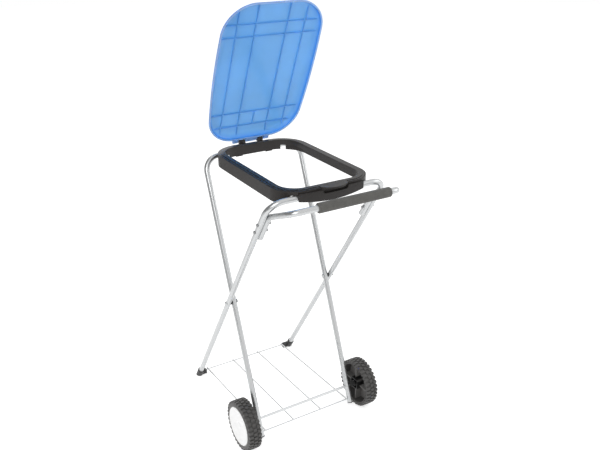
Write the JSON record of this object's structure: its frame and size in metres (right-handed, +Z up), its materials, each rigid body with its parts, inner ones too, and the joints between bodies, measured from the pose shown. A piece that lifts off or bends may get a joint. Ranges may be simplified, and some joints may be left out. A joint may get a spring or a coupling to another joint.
{
  "type": "bin bag holder",
  "caption": "Folding wheeled bin bag holder: crossed tube frames, a ring that clamps the bag's mouth, a hinged ribbed lid, a push handle and a wire shelf.",
  "frame": {"origin": "on the floor, below the middle of the whole holder", "axes": "+Z up; -Y towards the handle and the wheels; +X to the right of a person who looks along +Y from behind the handle"},
  "size_m": [0.4478, 0.6352, 1.2328],
  "materials": {
    "steel_tube": "zinc plated, satin",
    "fastener_steel": "zinc plated",
    "axle_steel": "plain drawn",
    "shelf_wire": "pale coated",
    "ring_plastic": "glossy moulded",
    "black_plastic": "moulded",
    "lid_plastic": "translucent moulded",
    "grip_foam": "foam",
    "washer_nylon": "moulded",
    "wheel_plastic": "moulded, fine grain",
    "hub_cap_plastic": "glossy moulded"
  },
  "bodies": {
    "foot_frame": {"foot_frame": "steel_tube", "handle_tube": "steel_tube", "handle_grip": "grip_foam", "handle_screw_lower_left": "fastener_steel", "handle_screw_lower_right": "fastener_steel", "handle_screw_upper_left": "fastener_steel", "handle_screw_upper_right": "fastener_steel", "handle_nut_lower_left": "fastener_steel", "handle_nut_lower_right": "fastener_steel", "handle_nut_upper_left": "fastener_steel", "handle_nut_upper_right": "fastener_steel", "pivot_bolt_left": "fastener_steel", "pivot_bolt_right": "fastener_steel", "pivot_washer_left": "washer_nylon", "pivot_washer_right": "washer_nylon", "foot_cap_left": "black_plastic", "foot_cap_right": "black_plastic"},
    "wheel_frame": {"wheel_frame": "steel_tube", "axle": "axle_steel", "leg_plug_left": "black_plastic", "leg_plug_right": "black_plastic", "axle_spacer_left": "black_plastic", "axle_spacer_right": "black_plastic", "push_nut_left": "fastener_steel", "push_nut_right": "fastener_steel"},
    "shelf": {"shelf": "shelf_wire"},
    "ring": {"base_ring": "ring_plastic", "hinge_pin": "axle_steel"},
    "clamp_ring": {"clamp_ring": "ring_plastic"},
    "lid": {"lid": "lid_plastic"},
    "left_wheel": {"wheel_left": "wheel_plastic", "hub_cap_left": "hub_cap_plastic"},
    "right_wheel": {"wheel_right": "wheel_plastic", "hub_cap_right": "hub_cap_plastic"}
  },
  "joints": [
    {"name": "fold", "type": "hinge", "parent": "foot_frame", "child": "wheel_frame", "pos_m": [0, 0.03783, 0.405], "axis": [1, 0, 0], "range_deg": [0, 52]},
    {"name": "ring_turn", "type": "hinge", "parent": "wheel_frame", "child": "ring", "pos_m": [0, 0.19482, 0.7975], "axis": [1, 0, 0], "range_deg": [-112, 0]},
    {"name": "shelf_turn", "type": "hinge", "parent": "wheel_frame", "child": "shelf", "pos_m": [0, -0.10923, 0.03732], "axis": [1, 0, 0], "range_deg": [0, 57.5]},
    {"name": "clamp_lift", "type": "hinge", "parent": "ring", "child": "clamp_ring", "pos_m": [0, 0.20982, 0.824], "axis": [1, 0, 0], "range_deg": [-40, 0]},
    {"name": "lid_turn", "type": "hinge", "parent": "clamp_ring", "child": "lid", "pos_m": [0, 0.20982, 0.824], "axis": [1, 0, 0], "range_deg": [-34, 66]},
    {"name": "left_wheel_spin", "type": "hinge", "parent": "wheel_frame", "child": "left_wheel", "pos_m": [-0.2025, -0.09416, 0.075], "axis": [1, 0, 0], "continuous": true},
    {"name": "right_wheel_spin", "type": "hinge", "parent": "wheel_frame", "child": "right_wheel", "pos_m": [0.2025, -0.09416, 0.075], "axis": [1, 0, 0], "continuous": true}
  ],
  "couplings": [
    {"joint": "ring_turn", "follows": "fold", "ratio": -2.15},
    {"joint": "shelf_turn", "follows": "fold", "ratio": 1.1}
  ]
}
